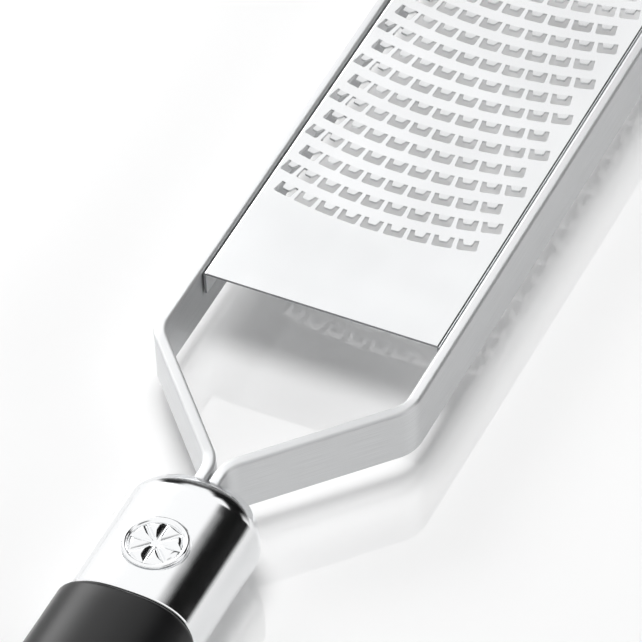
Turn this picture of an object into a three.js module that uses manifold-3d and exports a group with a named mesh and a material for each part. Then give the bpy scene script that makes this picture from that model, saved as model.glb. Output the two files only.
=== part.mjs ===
// Hand zester: an etched blade in a bent strip frame, with a polished bolster and a black grip.
// Millimetres, +X from the grip to the tip, +Y to the left, +Z up, table at z = 0.
import * as THREE from 'three';
import { mergeVertices } from 'three/addons/utils/BufferGeometryUtils.js';
import Module from 'manifold-3d';

// Strip that the frame is bent from
const stripThickness = 2.5;
const stripHeight = 12;
const stripEdge = 0.6;
const railSpacing = 50;
const bendRadius = 7;
const endRadius = 10;
const slantAngle = THREE.MathUtils.degToRad(43);
const openRun = 16;
const tangGap = 0.5;
const tableGap = 5.6;

// Etched blade
const bladeLength = 128;
const sheetThickness = 0.5;
const bladeDrop = 0.3;
const flangeDepth = 5;
const flangeBevel = 0.7;
const bladeSideGap = 0.2;
const bladeEndGap = 1;

// Teeth
const rowCount = 18;
const teethInWideRow = 10;
const pitchesAcross = 10.2;
const firstRow = 24.4;
const lastRowMargin = 10.9;
const rowArcRadius = 89;
const patternShift = 0.9;
const toothEdgeMargin = 0.9;
const openingWidth = 4;
const openingLength = 2.95;
const tongueRoot = 2.3;
const tongueTip = 1.6;
const tongueGap = 1.45;
const tongueRise = 0.3;
const firstRowRise = 0.12;

// Handle
const gripHalfWidth = 14.4;
const gripHalfHeight = 10.9;
const sectionPower = 2.6;
const gripLength = 88.6;
const gripShoulder = 1.6;
const gripButt = 15;
const bolsterStepIn = 0.9;
const bolsterLength = 35.4;
const noseLength = 10;
const nosePower = 1.8;
const noseBehindBlade = 45;
const jointGap = 0.2;

// Bore of the handle, with the tang, cheeks and pins in it
const cheekThickness = 5;
const cheekHeight = 13.6;
const cheekRound = 2.4;
const cheekGap = 0.3;
const cheekInBolster = 17;
const tangInGrip = 62;
const pinDiameter = 4;
const pinGap = 0.3;
const pinFirst = 12;
const pinSpacing = 19;

// Medallion on the bolster
const medallionDiameter = 12.5;
const medallionThickness = 1.5;
const medallionSink = 0.9;
const medallionGap = 0.3;
const medallionFromRear = 12;
const segmentCount = 8;
const segmentRise = 0.5;

// Shoe under the far cross bar
const shoeWall = 1.6;
const shoeGrip = 4;
const shoeGap = 0.25;
const shoeEndMargin = 1.5;
const shoeChamfer = 0.6;

// Fineness of curves
const bendSteps = 6;
const sectionPoints = 36;
const roundPoints = 24;

// Values that several pieces share
const railTop = tableGap + stripHeight;
const stripMiddle = tableGap + stripHeight / 2;
const railLine = (railSpacing + stripThickness) / 2;
const tangLine = (tangGap + stripThickness) / 2;
const tangHalfWidth = tangGap / 2 + stripThickness;
const slantStart = -openRun - (stripThickness / 2) * Math.tan(slantAngle / 2);
const slantEnd = slantStart - (railLine - tangLine) / Math.tan(slantAngle);
const crossBar = bladeLength + bladeEndGap + endRadius;
const shoeHalf = stripThickness / 2 + shoeGap + shoeWall;
const tipEnd = crossBar + shoeHalf;
const noseTip = -noseBehindBlade;
const bolsterRear = noseTip - bolsterLength;
const gripFront = bolsterRear - jointGap;
const gripRear = gripFront - gripLength;
const tangEnd = gripFront - tangInGrip;
const bolsterHalfWidth = gripHalfWidth - bolsterStepIn;
const bolsterHalfHeight = gripHalfHeight - bolsterStepIn;
const handleAxis = gripHalfHeight;
const cheekInner = tangHalfWidth + cheekGap;
const cheekOuter = cheekInner + cheekThickness;
const cheekFront = bolsterRear + cheekInBolster;
const boreHalfWidth = cheekOuter + cheekGap;
const boreHalfHeight = cheekHeight / 2 + cheekGap;
const pinPlaces = [0, 1, 2].map((i) => gripFront - pinFirst - i * pinSpacing);
const partMiddle = (tipEnd + gripRear) / 2;

// Solids

const wasm = await Module();
wasm.setup();

function closed(geometry) {
  const bare = geometry.clone();
  bare.deleteAttribute('normal');
  bare.deleteAttribute('uv');
  return mergeVertices(bare, 1e-4);
}

function toSolid(geometry) {
  const bare = closed(geometry);
  const vertProperties = new Float32Array(bare.attributes.position.array);
  const triVerts = new Uint32Array(bare.index.array);
  return new wasm.Manifold(new wasm.Mesh({ numProp: 3, vertProperties, triVerts }));
}

function toGeometry(solid) {
  const mesh = solid.getMesh();
  const geometry = new THREE.BufferGeometry();
  geometry.setAttribute('position', new THREE.BufferAttribute(new Float32Array(mesh.vertProperties), 3));
  geometry.setIndex(new THREE.BufferAttribute(new Uint32Array(mesh.triVerts), 1));
  return geometry;
}

function fromTriangles(points, triangles) {
  const geometry = new THREE.BufferGeometry();
  geometry.setAttribute('position', new THREE.Float32BufferAttribute(points.flat(), 3));
  geometry.setIndex(triangles.flat());
  return geometry;
}

// A drawn outline as a prism: upright, or lying along X with the drawing's axes as Y and Z
function upright(points, bottom, top, edge = 0) {
  const shape = new THREE.Shape(points.map(([x, y]) => new THREE.Vector2(x, y)));
  const geometry = new THREE.ExtrudeGeometry(shape, {
    depth: top - bottom - 2 * edge,
    bevelEnabled: edge > 0,
    bevelThickness: edge,
    bevelSize: edge,
    bevelOffset: -edge,
    bevelSegments: 2,
  });
  return geometry.translate(0, 0, bottom + edge);
}

function alongX(points, rear, front) {
  const toX = new THREE.Matrix4().set(0, 0, 1, 0, 1, 0, 0, 0, 0, 1, 0, 0, 0, 0, 0, 1);
  return upright(points, rear, front).applyMatrix4(toX);
}

function acrossY(radius, halfLength, x, z) {
  const rod = new THREE.CylinderGeometry(radius, radius, 2 * halfLength, roundPoints);
  return rod.translate(x, 0, z);
}

// Outlines

function arc(cx, cy, radius, from, to, steps) {
  const points = [];
  for (let i = 0; i <= steps; i += 1) {
    const a = from + ((to - from) * i) / steps;
    points.push([cx + radius * Math.cos(a), cy + radius * Math.sin(a)]);
  }
  return points;
}

// Middle line of a bent strip: corners with their bend radius become points with a normal to the left
function bentLine(corners) {
  const line = [];
  const heading = (a, b) => Math.atan2(b.y - a.y, b.x - a.x);
  corners.forEach((corner, i) => {
    const before = i > 0 ? heading(corners[i - 1], corner) : heading(corner, corners[1]);
    const after = i < corners.length - 1 ? heading(corner, corners[i + 1]) : before;
    const turn = Math.atan2(Math.sin(after - before), Math.cos(after - before));
    if (Math.abs(turn) < 1e-6) {
      line.push({ x: corner.x, y: corner.y, heading: before });
      return;
    }
    const side = Math.sign(turn);
    const run = corner.r * Math.tan(Math.abs(turn) / 2);
    const cx = corner.x - run * Math.cos(before) - side * corner.r * Math.sin(before);
    const cy = corner.y - run * Math.sin(before) + side * corner.r * Math.cos(before);
    const steps = Math.max(bendSteps, Math.ceil(Math.abs(turn) / 0.2));
    for (let k = 0; k <= steps; k += 1) {
      const at = before + (turn * k) / steps;
      line.push({
        x: cx + side * corner.r * Math.sin(at),
        y: cy - side * corner.r * Math.cos(at),
        heading: at,
      });
    }
  });
  return line;
}

function offsetLine(line, distance) {
  return line.map((p) => [p.x - distance * Math.sin(p.heading), p.y + distance * Math.cos(p.heading)]);
}

const rightHalf = [
  { x: tangEnd, y: -tangLine },
  { x: slantEnd, y: -tangLine, r: bendRadius },
  { x: slantStart, y: -railLine, r: bendRadius },
  { x: crossBar, y: -railLine, r: endRadius },
];
const leftHalf = rightHalf.map((c) => ({ ...c, y: -c.y })).reverse();

// Oval sections of the handle, joined along X; a section of no size is the pole of a dome
function ovalLoft(sections) {
  const points = [];
  const triangles = [];
  const rings = sections.map(({ x, halfWidth, halfHeight }) => {
    const start = points.length;
    for (let i = 0; i < sectionPoints; i += 1) {
      const a = (2 * Math.PI * (i + 0.5)) / sectionPoints;
      const bend = (v) => Math.sign(v) * Math.abs(v) ** (2 / sectionPower);
      points.push([x, halfWidth * bend(Math.cos(a)), handleAxis + halfHeight * bend(Math.sin(a))]);
    }
    return start;
  });
  const next = (i) => (i + 1) % sectionPoints;
  for (let r = 0; r + 1 < rings.length; r += 1) {
    for (let i = 0; i < sectionPoints; i += 1) {
      const [a, b] = [rings[r] + i, rings[r] + next(i)];
      const [c, d] = [rings[r + 1] + i, rings[r + 1] + next(i)];
      triangles.push([a, b, d], [a, d, c]);
    }
  }
  const rearMiddle = points.push([sections[0].x, 0, handleAxis]) - 1;
  const frontMiddle = points.push([sections[sections.length - 1].x, 0, handleAxis]) - 1;
  const last = rings[rings.length - 1];
  for (let i = 0; i < sectionPoints; i += 1) {
    triangles.push([rearMiddle, rings[0] + next(i), rings[0] + i]);
    triangles.push([frontMiddle, last + i, last + next(i)]);
  }
  return fromTriangles(points, triangles);
}

function ovalAt(x, scale, halfWidth, halfHeight) {
  return { x, halfWidth: halfWidth * scale, halfHeight: halfHeight * scale };
}

function roundedBore(halfWidth, halfHeight, round) {
  const corner = (sy, sz, from) =>
    arc(sy * (halfWidth - round), sz * (halfHeight - round), round, from, from + Math.PI / 2, 4);
  return [
    ...corner(1, 1, 0),
    ...corner(-1, 1, Math.PI / 2),
    ...corner(-1, -1, Math.PI),
    ...corner(1, -1, 1.5 * Math.PI),
  ].map(([y, z]) => [y, z + stripMiddle]);
}

// Frame

function makeFrame() {
  const line = bentLine([...rightHalf, ...leftHalf]);
  const outline = [
    ...offsetLine(line, -stripThickness / 2),
    ...offsetLine(line, stripThickness / 2).reverse(),
  ];
  let frame = toSolid(upright(outline, tableGap, railTop, stripEdge));
  for (const x of pinPlaces) {
    const hole = acrossY(pinDiameter / 2 + pinGap, tangHalfWidth + 1, x, stripMiddle);
    frame = frame.subtract(toSolid(hole));
  }
  return toGeometry(frame);
}

// Blade: the sheet's two faces, the walls of every tooth opening, and a flange folded down each side

function toothPlaces(halfWidth) {
  const toothPitch = (2 * halfWidth) / pitchesAcross;
  const rowPitch = (bladeLength - firstRow - lastRowMargin) / (rowCount - 1);
  const places = [];
  for (let row = 0; row < rowCount; row += 1) {
    const count = teethInWideRow - 1 + (row % 2);
    for (let i = 0; i < count; i += 1) {
      const turn = ((i - (count - 1) / 2) * toothPitch) / rowArcRadius;
      const y = patternShift + rowArcRadius * Math.sin(turn);
      const corner = Math.abs(y) + (openingLength / 2) * Math.abs(Math.sin(turn));
      const room = (halfWidth - toothEdgeMargin - corner) / Math.cos(turn);
      const lost = Math.max(0, openingWidth / 2 - room);
      places.push({
        x: firstRow + row * rowPitch + rowArcRadius * (1 - Math.cos(turn)),
        y,
        turn,
        narrowing: 1 - lost / openingWidth,
        inward: (-Math.sign(y) * lost) / 2,
        rise: row === 0 ? firstRowRise : tongueRise,
      });
    }
  }
  return places;
}

function makeBlade() {
  const top = railTop - bladeDrop;
  const under = top - sheetThickness;
  const halfWidth = railSpacing / 2 - bladeSideGap;
  const points = [];
  const triangles = [];
  const add = (x, y, z) => points.push([x, y, z]) - 1;
  const quad = (a, b, c, d) => triangles.push([a, b, c], [a, c, d]);

  const rim = (halfY, z) =>
    [[0, -halfY], [bladeLength, -halfY], [bladeLength, halfY], [0, halfY]].map(([x, y]) => add(x, y, z));
  const topRim = rim(halfWidth - flangeBevel, top);
  const underRim = rim(halfWidth - sheetThickness, under);
  const holes = { top: [], under: [] };

  for (const tooth of toothPlaces(halfWidth)) {
    const along = (p, width) => {
      const q = tooth.inward + width * tooth.narrowing;
      return [
        tooth.x + p * Math.cos(tooth.turn) + q * Math.sin(tooth.turn),
        tooth.y - p * Math.sin(tooth.turn) + q * Math.cos(tooth.turn),
      ];
    };
    const root = openingLength / 2;
    const edge = tongueGap - openingLength / 2;
    const corners = [
      [root, -openingWidth / 2, 0],
      [-root, -openingWidth / 2, 0],
      [-root, openingWidth / 2, 0],
      [root, openingWidth / 2, 0],
      [root, tongueRoot / 2, 0],
      [edge, tongueTip / 2, tooth.rise],
      [edge, -tongueTip / 2, tooth.rise],
      [root, -tongueRoot / 2, 0],
    ];
    const place = (base) => corners.map(([p, q, rise]) => add(...along(p, q), base + rise));
    const upper = place(top);
    const lower = place(under);
    corners.forEach((_, i) => {
      const j = (i + 1) % corners.length;
      quad(upper[i], lower[i], lower[j], upper[j]);
    });
    quad(upper[7], upper[4], upper[5], upper[6]);
    quad(lower[7], lower[6], lower[5], lower[4]);
    const opening = [0, 1, 2, 3, 4, 7];
    holes.top.push(opening.map((i) => upper[i]));
    holes.under.push(opening.map((i) => lower[i]));
  }

  const face = (outer, openings, upward) => {
    const flat = (list) => list.map((i) => new THREE.Vector2(points[i][0], points[i][1]));
    const order = [...outer, ...openings.flat()];
    for (const [a, b, c] of THREE.ShapeUtils.triangulateShape(flat(outer), openings.map(flat))) {
      const tri = [order[a], order[b], order[c]];
      triangles.push(upward ? tri : tri.reverse());
    }
  };
  face(topRim, holes.top, true);
  face(underRim, holes.under, false);

  const flangeFoot = under - flangeDepth;
  const fold = [];
  for (const [side, near, far] of [[-1, 0, 1], [1, 3, 2]]) {
    const ends = [[0, near], [bladeLength, far]].map(([x, i]) => [
      topRim[i],
      add(x, side * halfWidth, top - flangeBevel),
      add(x, side * halfWidth, flangeFoot),
      add(x, side * (halfWidth - sheetThickness), flangeFoot),
      underRim[i],
    ]);
    fold.push(ends);
    for (let i = 0; i < 4; i += 1) {
      const [a, b, c, d] = [ends[0][i], ends[1][i], ends[1][i + 1], ends[0][i + 1]];
      if (side < 0) quad(d, c, b, a);
      else quad(a, b, c, d);
    }
  }
  const [[nearRight, farRight], [nearLeft, farLeft]] = fold;
  for (const [right, left, outward] of [[nearRight, nearLeft, true], [farRight, farLeft, false]]) {
    const outline = [...right, ...[...left].reverse()];
    const flat = outline.map((i) => new THREE.Vector2(points[i][1], points[i][2]));
    for (const [a, b, c] of THREE.ShapeUtils.triangulateShape(flat, [])) {
      const [u, v] = [flat[b].clone().sub(flat[a]), flat[c].clone().sub(flat[a])];
      const tri = [outline[a], outline[b], outline[c]];
      triangles.push(u.cross(v) > 0 === outward ? tri.reverse() : tri);
    }
  }
  return fromTriangles(points, triangles);
}

// Bolster

function makeBolster() {
  const sections = [ovalAt(bolsterRear, 1, bolsterHalfWidth, bolsterHalfHeight)];
  const steps = 12;
  for (let i = 0; i < steps; i += 1) {
    const back = Math.sin((Math.PI / 2) * (i / steps));
    const scale = (1 - back ** nosePower) ** (1 / nosePower);
    const x = noseTip - noseLength + noseLength * back;
    sections.push(ovalAt(x, scale, bolsterHalfWidth, bolsterHalfHeight));
  }
  const noseScale = 0.02;
  sections.push(ovalAt(noseTip, noseScale, bolsterHalfWidth, bolsterHalfHeight));

  const mouth = bentLine(rightHalf.slice(0, 3)).filter((p) => p.x < noseTip + noseLength);
  const mouthEdge = offsetLine(mouth, -stripThickness / 2 - cheekGap);
  const slot = upright(
    [...mouthEdge, ...mouthEdge.map(([x, y]) => [x, -y]).reverse()],
    tableGap - cheekGap,
    railTop + cheekGap,
  );
  const boreOutline = roundedBore(boreHalfWidth, boreHalfHeight, cheekRound);
  const bore = alongX(boreOutline, bolsterRear - 1, cheekFront + cheekGap);
  const crown = handleAxis + bolsterHalfHeight;
  const seatRadius = medallionDiameter / 2 + medallionGap;
  const seat = new THREE.CylinderGeometry(seatRadius, seatRadius, 2 * medallionSink, 2 * roundPoints);
  seat.rotateX(Math.PI / 2).translate(bolsterRear + medallionFromRear, 0, crown);
  return toGeometry(
    toSolid(ovalLoft(sections)).subtract(toSolid(slot)).subtract(toSolid(bore)).subtract(toSolid(seat)),
  );
}

// Medallion: a rimmed disc with raised segments like a cut fruit

function makeMedallion() {
  const radius = medallionDiameter / 2;
  const floor = medallionThickness - 0.4;
  const rimWidth = 0.9;
  const profile = [
    [0, 0],
    [radius - 0.2, 0],
    [radius, 0.2],
    [radius, medallionThickness - 0.3],
    [radius - 0.3, medallionThickness],
    [radius - rimWidth, medallionThickness],
    [radius - rimWidth - 0.2, floor],
    [0, floor],
  ].map(([r, z]) => new THREE.Vector2(r, z));
  const disc = new THREE.LatheGeometry(profile, 2 * roundPoints).rotateX(Math.PI / 2);
  let medallion = toSolid(disc);
  const inner = 1.3;
  const outer = radius - rimWidth - 0.7;
  const half = Math.PI / segmentCount - 0.09;
  for (let i = 0; i < segmentCount; i += 1) {
    const middle = (2 * Math.PI * (i + 0.5)) / segmentCount;
    const shape = [
      [inner * Math.cos(middle), inner * Math.sin(middle)],
      ...arc(0, 0, outer, middle - half, middle + half, 4),
    ];
    const segment = upright(shape, floor - 0.3, floor + segmentRise, 0.25);
    medallion = medallion.add(toSolid(segment));
  }
  const seat = handleAxis + bolsterHalfHeight - medallionSink;
  return toGeometry(medallion).translate(bolsterRear + medallionFromRear, 0, seat);
}

// Grip

function makeGrip() {
  const sections = [];
  const buttSteps = 8;
  for (let i = 0; i <= buttSteps; i += 1) {
    const back = Math.cos((Math.PI / 2) * (i / buttSteps));
    const scale = Math.max(0.02, (1 - back ** 2.2) ** (1 / 2.2));
    sections.push(ovalAt(gripRear + gripButt * (1 - back), 0.93 * scale, gripHalfWidth, gripHalfHeight));
  }
  const swell = [[0.3, 0.955], [0.42, 0.985], [0.54, 1], [0.66, 1], [0.8, 0.99]];
  for (const [share, scale] of swell) {
    sections.push(ovalAt(gripRear + share * gripLength, scale, gripHalfWidth, gripHalfHeight));
  }
  const shoulderSteps = 4;
  for (let i = 0; i <= shoulderSteps; i += 1) {
    const turn = (Math.PI / 2) * (i / shoulderSteps);
    const x = gripFront - gripShoulder * (1 - Math.sin(turn));
    const inset = gripShoulder * (1 - Math.cos(turn));
    sections.push({
      x,
      halfWidth: 0.985 * gripHalfWidth - inset,
      halfHeight: 0.985 * gripHalfHeight - inset,
    });
  }
  const boreOutline = roundedBore(boreHalfWidth, boreHalfHeight, cheekRound);
  const bore = alongX(boreOutline, tangEnd - cheekGap, gripFront + 1);
  return toGeometry(toSolid(ovalLoft(sections)).subtract(toSolid(bore)));
}

// Cheeks and pins

function makeCheek(side) {
  const low = stripMiddle - cheekHeight / 2;
  const high = stripMiddle + cheekHeight / 2;
  const outline = [
    [cheekInner, low],
    ...arc(cheekOuter - cheekRound, low + cheekRound, cheekRound, -Math.PI / 2, 0, 4),
    ...arc(cheekOuter - cheekRound, high - cheekRound, cheekRound, 0, Math.PI / 2, 4),
    [cheekInner, high],
  ].map(([y, z]) => [side * y, z]);
  let cheek = toSolid(alongX(outline, tangEnd, cheekFront));
  for (const x of pinPlaces) {
    cheek = cheek.subtract(toSolid(acrossY(pinDiameter / 2 + pinGap, cheekOuter + 1, x, stripMiddle)));
  }
  return toGeometry(cheek);
}

function makePin(x) {
  return acrossY(pinDiameter / 2, cheekOuter, x, stripMiddle);
}

// Shoe on the cross bar

function makeShoe() {
  const outer = shoeHalf;
  const inner = outer - shoeWall;
  const top = tableGap + shoeGrip;
  const floor = tableGap - shoeGap;
  const outline = [
    [-outer, shoeChamfer],
    [shoeChamfer - outer, 0],
    [outer - shoeChamfer, 0],
    [outer, shoeChamfer],
    [outer, top - shoeChamfer],
    [outer - shoeChamfer, top],
    [inner, top],
    [inner, floor],
    [-inner, floor],
    [-inner, top],
    [shoeChamfer - outer, top],
    [-outer, top - shoeChamfer],
  ];
  const halfLength = railLine - endRadius - shoeEndMargin;
  const shoe = upright(outline, -halfLength, halfLength).rotateX(Math.PI / 2);
  return shoe.translate(crossBar, 0, 0);
}

// Assembly

const part = new THREE.Group();
part.name = 'zester';

function place(name, geometry, color, roughness, metalness) {
  const body = closed(geometry).translate(-partMiddle, 0, 0);
  body.computeVertexNormals();
  const mesh = new THREE.Mesh(body, new THREE.MeshStandardMaterial({ color, roughness, metalness }));
  mesh.name = name;
  part.add(mesh);
}

place('frame_bar', makeFrame(), 0xc6c8ca, 0.35, 1);
place('grating_blade', makeBlade(), 0xd8dadb, 0.25, 1);
place('front_bolster', makeBolster(), 0xe2e3e4, 0.08, 1);
place('bolster_medallion', makeMedallion(), 0xdcdddf, 0.12, 1);
place('grip', makeGrip(), 0x1c1c1d, 0.5, 0);
place('tang_cheek_left', makeCheek(1), 0x34363a, 0.6, 0);
place('tang_cheek_right', makeCheek(-1), 0x34363a, 0.6, 0);
place('tang_pin_front', makePin(pinPlaces[0]), 0xb6b8bb, 0.35, 1);
place('tang_pin_middle', makePin(pinPlaces[1]), 0xb6b8bb, 0.35, 1);
place('tang_pin_rear', makePin(pinPlaces[2]), 0xb6b8bb, 0.35, 1);
place('tip_foot', makeShoe(), 0x2b2b2c, 0.85, 0);

export default part;
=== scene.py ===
import math

import bmesh
import bpy
from mathutils import Matrix, Vector
from mathutils.geometry import tessellate_polygon


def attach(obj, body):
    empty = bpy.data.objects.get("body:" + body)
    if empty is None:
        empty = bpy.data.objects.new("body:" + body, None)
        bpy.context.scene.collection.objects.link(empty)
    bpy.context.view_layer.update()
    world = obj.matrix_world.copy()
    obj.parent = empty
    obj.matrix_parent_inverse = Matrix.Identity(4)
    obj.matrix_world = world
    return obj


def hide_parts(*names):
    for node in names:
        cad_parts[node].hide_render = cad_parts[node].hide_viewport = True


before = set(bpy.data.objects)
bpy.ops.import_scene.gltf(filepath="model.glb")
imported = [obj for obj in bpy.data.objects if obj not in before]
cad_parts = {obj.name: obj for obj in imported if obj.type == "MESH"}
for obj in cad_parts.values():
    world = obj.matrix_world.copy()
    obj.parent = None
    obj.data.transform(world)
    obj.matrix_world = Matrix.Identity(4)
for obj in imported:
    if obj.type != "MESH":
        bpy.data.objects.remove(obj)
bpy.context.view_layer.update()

# Sizes in millimetres, as in the solids. Lengthwise places count from the blade's edge at the grip side.
MM = 0.001
STRIP_THICKNESS = 2.5
STRIP_HEIGHT = 12.0
STRIP_EDGE = 0.7
RAIL_SPACING = 50.0
BEND_RADIUS = 7.0
END_RADIUS = 10.0
SLANT = math.radians(43)
OPEN_RUN = 16.0
TANG_GAP = 0.5
TABLE_GAP = 5.6
BLADE_LENGTH = 128.0
BLADE_END_GAP = 1.0
BLADE_SIDE_GAP = 0.2
BLADE_DROP = 0.3
SHEET_THICKNESS = 0.5
FLANGE_DEPTH = 5.0
FOLD_RADIUS = 0.6
ROW_COUNT = 18
TEETH_IN_WIDE_ROW = 10
PITCHES_ACROSS = 10.2
FIRST_ROW = 24.4
LAST_ROW_MARGIN = 10.9
ROW_ARC_RADIUS = 89.0
PATTERN_SHIFT = 0.9
TOOTH_EDGE_MARGIN = 0.9
OPENING_WIDTH = 4.0
OPENING_LENGTH = 2.95
OPENING_ROUND = 0.5
TONGUE_ROOT = 2.3
TONGUE_TIP = 1.6
TONGUE_GAP = 1.45
TONGUE_RISE = 0.3
FIRST_ROW_RISE = 0.12
GRIP_HALF_WIDTH = 14.4
GRIP_HALF_HEIGHT = 10.9
SECTION_POWER = 2.6
GRIP_LENGTH = 88.6
GRIP_SHOULDER = 1.6
GRIP_BUTT = 15.0
BOLSTER_STEP_IN = 0.9
BOLSTER_LENGTH = 35.4
BOLSTER_REAR_EDGE = 0.3
NOSE_LENGTH = 10.0
NOSE_POWER = 1.8
NOSE_BEHIND_BLADE = 45.0
JOINT_GAP = 0.2
BORE_HALF_WIDTH = 8.35
BORE_HALF_HEIGHT = 7.1
BORE_ROUND = 2.4
CHEEK_IN_BOLSTER = 17.0
CHEEK_GAP = 0.3
TANG_IN_GRIP = 62.0
MEDALLION_RADIUS = 6.25
MEDALLION_SINK = 0.9
MEDALLION_GAP = 0.3
MEDALLION_FROM_REAR = 12.0
SHOE_WALL = 1.6
SHOE_GAP = 0.25
SHOE_GRIP = 4.0
SHOE_END_MARGIN = 1.5
SHOE_FOOT_ROUND = 1.2
SHOE_END_ROUND = 0.5
CUT_OVERRUN = 1

RAIL_TOP = TABLE_GAP + STRIP_HEIGHT
STRIP_MIDDLE = TABLE_GAP + STRIP_HEIGHT / 2
RAIL_LINE = (RAIL_SPACING + STRIP_THICKNESS) / 2
TANG_LINE = (TANG_GAP + STRIP_THICKNESS) / 2
SLANT_START = -OPEN_RUN - STRIP_THICKNESS / 2 * math.tan(SLANT / 2)
SLANT_END = SLANT_START - (RAIL_LINE - TANG_LINE) / math.tan(SLANT)
CROSS_BAR = BLADE_LENGTH + BLADE_END_GAP + END_RADIUS
NOSE_TIP = -NOSE_BEHIND_BLADE
BOLSTER_REAR = NOSE_TIP - BOLSTER_LENGTH
GRIP_FRONT = BOLSTER_REAR - JOINT_GAP
GRIP_REAR = GRIP_FRONT - GRIP_LENGTH
TANG_END = GRIP_FRONT - TANG_IN_GRIP
HANDLE_AXIS = GRIP_HALF_HEIGHT
BOLSTER_HALF_WIDTH = GRIP_HALF_WIDTH - BOLSTER_STEP_IN
BOLSTER_HALF_HEIGHT = GRIP_HALF_HEIGHT - BOLSTER_STEP_IN
MEDALLION_CENTRE = BOLSTER_REAR + MEDALLION_FROM_REAR
MEDALLION_SEAT = HANDLE_AXIS + BOLSTER_HALF_HEIGHT - MEDALLION_SINK
SHOE_HALF = STRIP_THICKNESS / 2 + SHOE_GAP + SHOE_WALL
PART_MIDDLE = (CROSS_BAR + SHOE_HALF + GRIP_REAR) / 2

# The right half of the strip's middle line, from its end in the grip to the tip: x, y, bend radius
STRIP_CORNERS = [
    (TANG_END, -TANG_LINE, 0.0),
    (SLANT_END, -TANG_LINE, BEND_RADIUS),
    (SLANT_START, -RAIL_LINE, BEND_RADIUS),
    (CROSS_BAR, -RAIL_LINE, END_RADIUS),
]

# How finely the forms are divided
BEND_STEP = math.radians(3)
MOUTH_STEP = math.radians(4)
STRIP_EDGE_STEPS = 5
OPENING_STEPS = 4
FOLD_STEPS = 6
BORE_STEPS = 4
BOLSTER_POINTS = 160
GRIP_POINTS = 128
SEAT_POINTS = 96
BLADE_SHARP_ANGLE = math.radians(4)
CUT_SHARP_ANGLE = math.radians(35)
QUARTER = math.pi / 2


# Materials

# The Mix node's colour sockets share their names with its other sockets, so they go by number.
COLOUR_A = 6
COLOUR_B = 7
COLOUR_RESULT = 2


def colour(hex_code):
    """An sRGB hex colour as linear RGBA."""
    channels = [int(hex_code[i:i + 2], 16) / 255 for i in (1, 3, 5)]
    return [c / 12.92 if c <= 0.04045 else ((c + 0.055) / 1.055) ** 2.4 for c in channels] + [1.0]


def add(tree, kind, links=(), **settings):
    """Adds a node with its settings; links are (own input, other node, its output)."""
    node = tree.nodes.new(kind)
    for name, value in settings.items():
        if name in node.inputs:
            node.inputs[name].default_value = value
        else:
            setattr(node, name, value)
    for own, other, output in links:
        tree.links.new(other.outputs[output], node.inputs[own])
    return node


def start_material(name):
    material = bpy.data.materials.new(name)
    material.use_nodes = True
    tree = material.node_tree
    return material, tree, tree.nodes["Principled BSDF"]


def per_metre(size_mm):
    """A texture scale that gives features of that size."""
    return 1000.0 / size_mm


def brushed_stainless_strip():
    # Cold-rolled stainless flat, belt-brushed along its length and tumbled: streaky sides, satin round edges.
    # The brush lines are drawn 0.1 mm wide, about twice the real width, so that they show.
    material, tree, shader = start_material("brushed_stainless_strip")
    shader.inputs["Metallic"].default_value = 1.0
    shader.inputs["Anisotropic"].default_value = 0.8
    shader.inputs["Anisotropic Rotation"].default_value = 0.25
    grain = add(tree, "ShaderNodeTangent", direction_type="UV_MAP", uv_map="along_strip")
    place = add(tree, "ShaderNodeUVMap", uv_map="along_strip")
    stretch = add(tree, "ShaderNodeMapping", [("Vector", place, "UV")])
    stretch.inputs["Scale"].default_value = (per_metre(11.0), per_metre(0.1), 1.0)
    streaks = add(tree, "ShaderNodeTexNoise", [("Vector", stretch, "Vector")], Scale=1.0, Detail=4.0,
                  Roughness=0.6)
    tone = add(tree, "ShaderNodeMix", [("Factor", streaks, "Fac")], data_type="RGBA")
    tone.inputs[COLOUR_A].default_value = colour("#BEBFC0")
    tone.inputs[COLOUR_B].default_value = colour("#E8E9EA")
    surface = add(tree, "ShaderNodeNewGeometry")
    height = add(tree, "ShaderNodeSeparateXYZ", [("Vector", surface, "Normal")])
    steep = add(tree, "ShaderNodeMath", [(0, height, "Z")], operation="ABSOLUTE")
    edge = add(tree, "ShaderNodeMapRange", [("Value", steep, "Value")], interpolation_type="SMOOTHSTEP")
    edge.inputs["From Min"].default_value = 0.25
    edge.inputs["From Max"].default_value = 0.8
    finish = add(tree, "ShaderNodeMix", [("Factor", edge, "Result"), (COLOUR_A, tone, COLOUR_RESULT)],
                 data_type="RGBA")
    finish.inputs[COLOUR_B].default_value = colour("#D8D9DA")
    side_gloss = add(tree, "ShaderNodeMapRange", [("Value", streaks, "Fac")])
    side_gloss.inputs["To Min"].default_value = 0.36
    side_gloss.inputs["To Max"].default_value = 0.46
    gloss = add(tree, "ShaderNodeMix", [("Factor", edge, "Result"), ("A", side_gloss, "Result")],
                data_type="FLOAT")
    gloss.inputs["B"].default_value = 0.48
    relief = add(tree, "ShaderNodeBump", [("Height", streaks, "Fac")], Strength=0.1, Distance=0.00004)
    tree.links.new(grain.outputs["Tangent"], shader.inputs["Tangent"])
    tree.links.new(finish.outputs[COLOUR_RESULT], shader.inputs["Base Color"])
    tree.links.new(gloss.outputs["Result"], shader.inputs["Roughness"])
    tree.links.new(relief.outputs["Normal"], shader.inputs["Normal"])
    return material


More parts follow.
